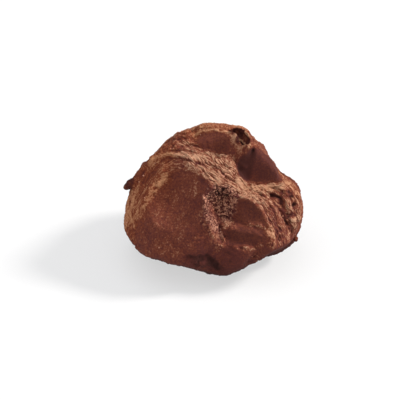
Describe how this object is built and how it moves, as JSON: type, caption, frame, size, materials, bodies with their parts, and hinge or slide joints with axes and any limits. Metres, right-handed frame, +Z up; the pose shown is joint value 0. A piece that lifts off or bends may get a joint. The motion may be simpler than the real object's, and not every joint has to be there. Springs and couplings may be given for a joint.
{
  "type": "chocolate truffle",
  "caption": "Bite-sized hand-rolled lump of chocolate ganache with pressed hollows and ridges, dusted all over with cocoa powder.",
  "frame": {"origin": "middle of the bounding box's base, on the surface that the truffle rests on", "axes": "+Z up, -Y towards the viewer, +X along the truffle's long side to the viewer's right"},
  "size_m": [0.0298, 0.0258, 0.0237],
  "materials": {
    "cocoa": "matt cocoa powder over dark ganache"
  },
  "bodies": {
    "root": {"truffle": "cocoa"}
  },
  "joints": []
}
